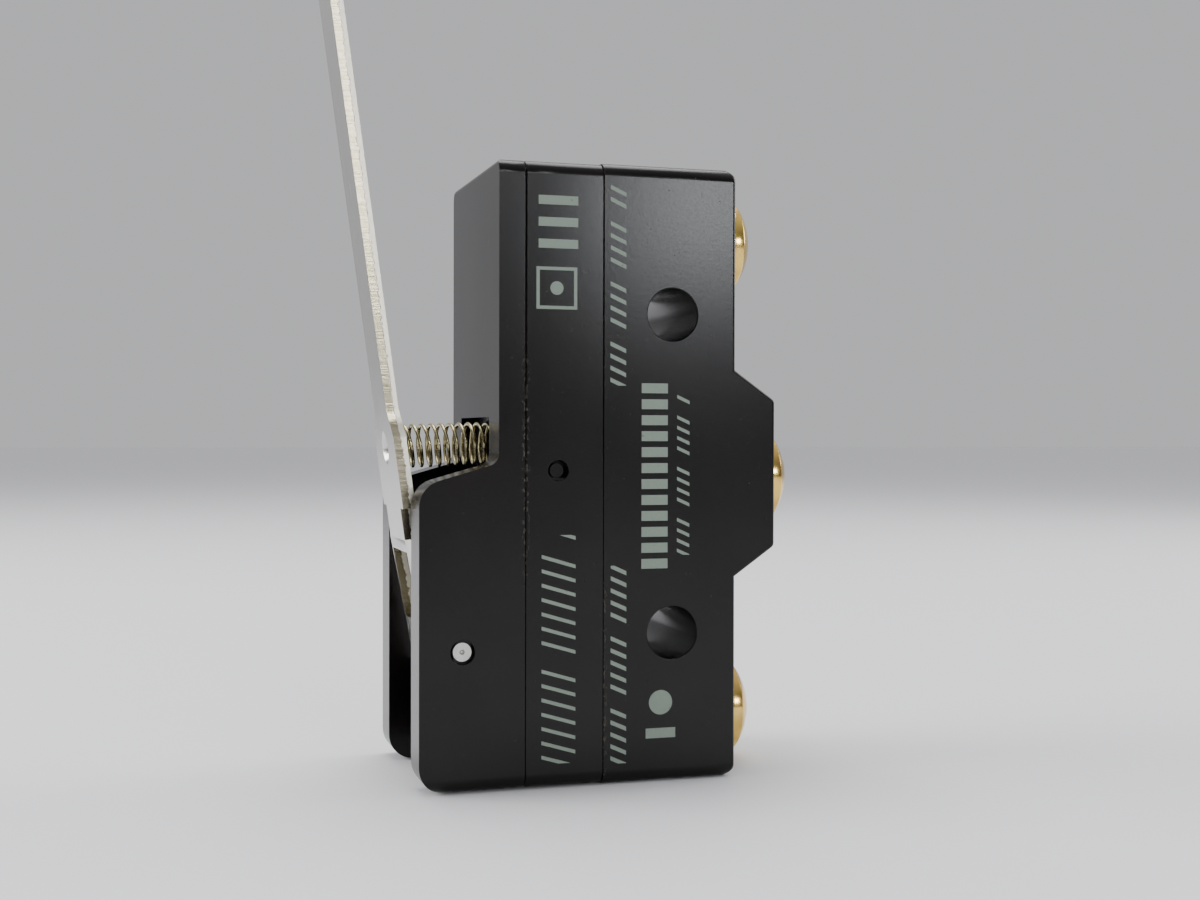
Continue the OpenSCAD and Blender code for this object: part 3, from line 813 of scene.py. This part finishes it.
@dataclass
class ReturnSpring:
    """The coil spring between the lever and the holder, in millimetres."""

    foot_x: float = -12.59
    length: float = 7.73
    axis_z: float = 27.0
    fall: float = 0.245
    outer_d: float = 3.6
    wire_d: float = 0.3
    turns: float = 11.5
    lean_deg: float = ARM_LEAN_DEG
    steps: int = 48
    sides: int = 14
    overreach: float = 0.07  # share of the length past each end

    def build(self) -> None:
        """Winds the wire, and leans and drops its far end to meet the lever's arm."""
        coil = bmesh.new()
        radius = (self.outer_d - self.wire_d) / 2
        start = Vector((self.foot_x - self.wire_d / 2, -radius, self.axis_z)) * MM
        bmesh.ops.create_circle(coil, cap_ends=True, segments=self.sides,
                                radius=self.wire_d / 2 * MM, matrix=Matrix.Translation(start))
        section = list(coil.verts) + list(coil.edges) + list(coil.faces)
        active = self.turns - 2
        pitch = (self.length - self.wire_d * 2) / active
        for turns, advance in ((1.0, self.wire_d), (active, pitch), (1.0, self.wire_d)):
            steps = round(turns * self.steps)
            step = Vector((-advance * turns / steps * MM, 0, 0))
            made = bmesh.ops.spin(coil, geom=section, cent=Vector((0, 0, self.axis_z * MM)),
                                  axis=Vector((-1, 0, 0)), dvec=step, steps=steps,
                                  angle=2 * math.pi * turns, use_merge=False,
                                  use_duplicate=False)
            section = made["geom_last"]
        slope = math.tan(math.radians(self.lean_deg))
        for vert in coil.verts:
            share = (self.foot_x - vert.co.x / MM) / self.length
            vert.co.x -= (vert.co.z - self.axis_z * MM) * slope * share
            vert.co.z -= self.fall * MM * share
        bmesh.ops.recalc_face_normals(coil, faces=coil.faces)
        finish = Metal("spring wire", (0.56, 0.50, 0.29), (0.47, 0.41, 0.23), 0.19, 4.0,
                       relief_mm=0.0004).build()
        spring = show("return_spring_coil", coil, finish, None, "return_spring",
                      60.0, False)
        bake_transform(spring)


# ---- Terminals and fasteners --------------------------------------------

@dataclass
class TerminalScrew:
    """A domed terminal screw with a combined slot and cross, in millimetres."""

    node: str
    seat_x: float
    z: float
    turn_deg: float
    shank_r: float = 2.0
    shank_len: float = 7.6
    tip_chamfer: float = 0.3
    head_r: float = 3.9
    head_h: float = 2.57
    dome_r: float = 5.9
    dome_drop: float = 0.12
    rim_r: float = 0.22
    slot_w: float = 1.0
    slot_depth: float = 0.90
    recess_w: float = 1.2
    recess_reach: float = 2.1
    recess_depth: float = 1.25
    recess_r: float = 0.05
    over: float = 1.0  # how far the cutters stand out of the head
    rounded_over: float = 0.9  # height over the seat where the recess is rounded
    rim_steps: int = 4
    dome_steps: int = 13
    steps: int = 72

    def profile(self) -> list[tuple[float, float]]:
        """Height over the seat and radius, from the shank's end to the top of the dome."""
        tip = -self.shank_len
        points = [(tip, 0.0), (tip, self.shank_r - self.tip_chamfer),
                  (tip + self.tip_chamfer, self.shank_r), (0.0, self.shank_r)]
        for step in range(self.rim_steps + 1):
            turn = math.radians(90.0 * step / self.rim_steps)
            points.append((self.rim_r * (1 - math.cos(turn)),
                           self.head_r - self.rim_r * (1 - math.sin(turn))))
        centre = self.head_h - self.dome_r
        edge = math.asin((self.head_r - self.dome_drop) / self.dome_r)
        points.append((centre + self.dome_r * math.cos(edge) - self.dome_drop, self.head_r))
        for step in range(self.dome_steps + 1):
            turn = edge * (1 - step / self.dome_steps)
            points.append((centre + self.dome_r * math.cos(turn), self.dome_r * math.sin(turn)))
        return points

    def in_head(self, edge: bmesh.types.BMEdge) -> bool:
        """Whether an edge lies in the domed part of the head."""
        return min(vert.co.x for vert in edge.verts) / MM > self.rounded_over

    def cut_recess(self, solid: bmesh.types.BMesh) -> bmesh.types.BMesh:
        """Cuts the slot across the head and the deeper cross in its middle.

        Args:
            solid: The turned screw, which is freed.

        Returns:
            The screw with its recess.
        """
        top = self.head_h + self.over
        floor = self.head_h - self.recess_depth
        cuts = ((self.head_h - self.slot_depth, self.head_r + self.over, self.slot_w / 2),
                (floor, self.recess_reach, self.recess_w / 2),
                (floor, self.recess_w / 2, self.recess_reach))
        for bottom, half_y, half_z in cuts:
            solid = subtract(solid, slab((bottom, -half_y, -half_z), (top, half_y, half_z)))
        round_edges(solid, self.in_head, self.recess_r, 2)
        return solid

    def build(self, finish: bpy.types.Material) -> None:
        """Turns the screw on its axis and cuts its recess.

        Args:
            finish: Material of the screw.
        """
        solid = bmesh.new()
        verts = [solid.verts.new((height * MM, radius * MM, 0.0))
                 for height, radius in self.profile()]
        edges = [solid.edges.new(pair) for pair in zip(verts, verts[1:])]
        bmesh.ops.spin(solid, geom=verts + edges, cent=(0, 0, 0), axis=(1, 0, 0), dvec=(0, 0, 0),
                       angle=2 * math.pi, steps=self.steps, use_merge=True, use_duplicate=False)
        bmesh.ops.remove_doubles(solid, verts=solid.verts, dist=WELD)
        bmesh.ops.recalc_face_normals(solid, faces=solid.faces)
        solid = self.cut_recess(solid)
        turned = Matrix.Rotation(math.radians(self.turn_deg), 4, "X")
        placed = Matrix.Translation(Vector((self.seat_x, 0.0, self.z)) * MM) @ turned
        bmesh.ops.transform(solid, matrix=placed, verts=solid.verts)
        show(self.node + "_turned", solid, finish, "case", self.node, 35.0)


@dataclass
class Terminals:
    """Screws, washers and strips on the terminal side, in millimetres."""

    seat_x: float = 7.03
    raised_seat_x: float = 10.49
    common_z: float = 4.35
    open_z: float = 24.15
    closed_z: float = 43.95
    press_r: float = 0.12
    strip_r: float = 0.06
    short_edge: float = 0.15  # strip edges shorter than this stay sharp

    def build(self) -> None:
        """Makes the pieces of the terminal side."""
        brass = Metal("screw brass", (0.80, 0.55, 0.15), (0.58, 0.36, 0.12), 0.13, 2.4,
                      (0.4, 1.0, 1.0), 0.004).build()
        for node, seat, z, turn in (("common_screw", self.seat_x, self.common_z, 24.0),
                                    ("open_screw", self.raised_seat_x, self.open_z, -38.0),
                                    ("closed_screw", self.seat_x, self.closed_z, 61.0)):
            TerminalScrew(node, seat, z, turn).build(brass)
        plated = Metal("washer plate", (0.80, 0.70, 0.42), (0.64, 0.52, 0.30), 0.24, 2.0).build()
        for node in ("common_washer", "open_washer", "closed_washer"):
            solid = from_node(node)
            round_edges(solid, longer_than(0.0), self.press_r, 3)
            show(node + "_pressed", solid, plated, "case", node)
        strip = Metal("terminal brass", (0.78, 0.60, 0.27), (0.62, 0.45, 0.20), 0.24, 1.6,
                      (1.0, 0.2, 1.0)).build()
        for node in ("common_terminal", "open_terminal", "closed_terminal"):
            solid = from_node(node)
            round_edges(solid, longer_than(self.short_edge), self.strip_r, 2)
            show(node + "_strip", solid, strip, "case", node)


@dataclass
class Mechanism:
    """The pin, the plunger and the parts inside the case, which keep the frame's shapes."""

    pin: tuple[float, float] = PIN_XZ

    def build(self) -> None:
        """Dresses the frame's nodes."""
        dress("hinge_pin", GroundPin("ground pin", *self.pin).build())
        dress("plunger", Phenolic("plunger plastic", dark=(0.030, 0.022, 0.018),
                                  warm=(0.045, 0.032, 0.024)).build())
        copper = Metal("blade copper", (0.80, 0.50, 0.30), (0.62, 0.36, 0.22), 0.22, 1.4,
                       (1.0, 1.0, 0.15)).build()
        for node in ("snap_blade", "bow_spring"):
            dress(node, copper)
        silver = Metal("contact silver", (0.90, 0.89, 0.86), (0.66, 0.64, 0.60), 0.25).build()
        for node in ("moving_contact", "open_contact", "closed_contact"):
            dress(node, silver)
        rivet = Metal("rivet brass", (0.80, 0.62, 0.28), (0.62, 0.46, 0.22), 0.25).build()
        dress("blade_rivet", rivet)


# ---- Studio -------------------------------------------------------------

@dataclass
class Softbox:
    """A rectangular area light, in metres and watts."""

    name: str
    place: Point
    aim: Point
    size: float
    power: float
    colour: Colour = (1.0, 1.0, 1.0)
    stretch: float = 1.0

    def build(self) -> None:
        """Adds the light to the scene."""
        lamp = bpy.data.lights.new(self.name, "AREA")
        lamp.shape = "RECTANGLE"
        lamp.size = self.size
        lamp.size_y = self.size * self.stretch
        lamp.energy = self.power
        lamp.color = self.colour
        direction = Vector(self.aim) - Vector(self.place)
        turned = direction.to_track_quat("-Z", "Y").to_matrix().to_4x4()
        link(self.name, lamp).matrix_world = Matrix.Translation(self.place) @ turned


@dataclass
class Studio:
    """Floor, surroundings, lights and camera."""

    floor_half: float = 3.0
    floor_colour: Colour = (0.74, 0.74, 0.76)
    room_colour: Colour = (0.97, 0.975, 1.0)
    room_seen: float = 0.55
    eye: Point = (-0.04166, -0.12492, 0.02773)
    yaw_deg: float = 17.034
    pitch_deg: float = -0.577
    roll_deg: float = 0.115
    lens_mm: float = 46.27
    sensor_mm: float = 36.0
    nearest: float = 0.002
    farthest: float = 20.0
    lights: list[Softbox] = field(default_factory=lambda: [
        Softbox("overhead", (0.02, 0.14, 0.48), (0.0, 0.0, 0.03), 0.34, 1.8),
        Softbox("left", (-0.42, 0.10, 0.20), (-0.01, 0.0, 0.03), 0.30, 2.4),
        Softbox("front_right", (0.150, -0.378, 0.112), (0.003, -0.0087, 0.044), 0.060, 0.30,
                (0.93, 0.96, 1.0)),
        Softbox("lever_edge", (0.034, -0.41, 0.17), (-0.025, -0.003, 0.05), 0.030, 0.22,
                stretch=5.0),
        Softbox("right", (0.40, 0.06, 0.20), (0.0, 0.0, 0.03), 0.22, 0.9),
    ])

    def surroundings(self) -> None:
        """A pale room that is darker on the near side, and plainly pale where it is seen."""
        world = bpy.data.worlds.new("studio")
        bpy.context.scene.world = world
        graph = Graph(world)
        direction = graph.node("ShaderNodeTexCoord", {}, {}, "Generated")
        _, y, z = graph.axes(direction)
        away = graph.ramp(y, -0.75, 0.35)
        above = graph.ramp(z, 0.1, 0.9)
        level = 0.008 + away * 0.50 + above * 0.50
        seen = graph.node("ShaderNodeLightPath", {}, {}, "Is Camera Ray")
        strength = level * (1.0 - seen) + seen * self.room_seen
        sockets = {"Color": self.room_colour, "Strength": strength}
        graph.close(graph.node("ShaderNodeBackground", {}, sockets), "ShaderNodeOutputWorld")

    def floor(self) -> None:
        """A plain pale floor."""
        sheet = bmesh.new()
        bmesh.ops.create_grid(sheet, x_segments=2, y_segments=2, size=self.floor_half)
        graph = Graph(bpy.data.materials.new("studio floor"))
        normal = graph.bump(graph.noise(graph.place(), 0.8, 3.0), 0.05, 0.3)
        finish = graph.finish(Base_Color=self.floor_colour, Roughness=0.62, Normal=normal)
        ground = to_object("studio_floor", sheet)
        ground.data.materials.append(finish)

    def camera(self) -> None:
        """The camera, a little to the left of the printed face."""
        yaw, pitch = math.radians(self.yaw_deg), math.radians(self.pitch_deg)
        forward = Vector((math.sin(yaw) * math.cos(pitch), math.cos(yaw) * math.cos(pitch),
                          math.sin(pitch)))
        right = Vector((math.cos(yaw), -math.sin(yaw), 0.0))
        rolled = Matrix.Rotation(math.radians(-self.roll_deg), 3, forward)
        right = rolled @ right
        up = right.cross(forward)
        turned = Matrix((right, up, -forward)).transposed().to_4x4()
        lens = bpy.data.cameras.new("camera")
        lens.lens = self.lens_mm
        lens.sensor_width = self.sensor_mm
        lens.clip_start = self.nearest
        lens.clip_end = self.farthest
        eye = link("camera", lens)
        eye.matrix_world = Matrix.Translation(self.eye) @ turned
        bpy.context.scene.camera = eye

    def build(self) -> None:
        """Sets the stage."""
        self.camera()
        self.surroundings()
        self.floor()
        for light in self.lights:
            light.build()


def main() -> None:
    """Builds the pieces in order and reports each one."""
    logging.basicConfig(level=logging.INFO, format="%(name)s %(message)s")
    for part in (Studio(), Case(), Lever(), ReturnSpring(), Terminals(), Mechanism()):
        part.build()
        log.info("%s done", type(part).__name__)


if __name__ == "__main__":
    main()
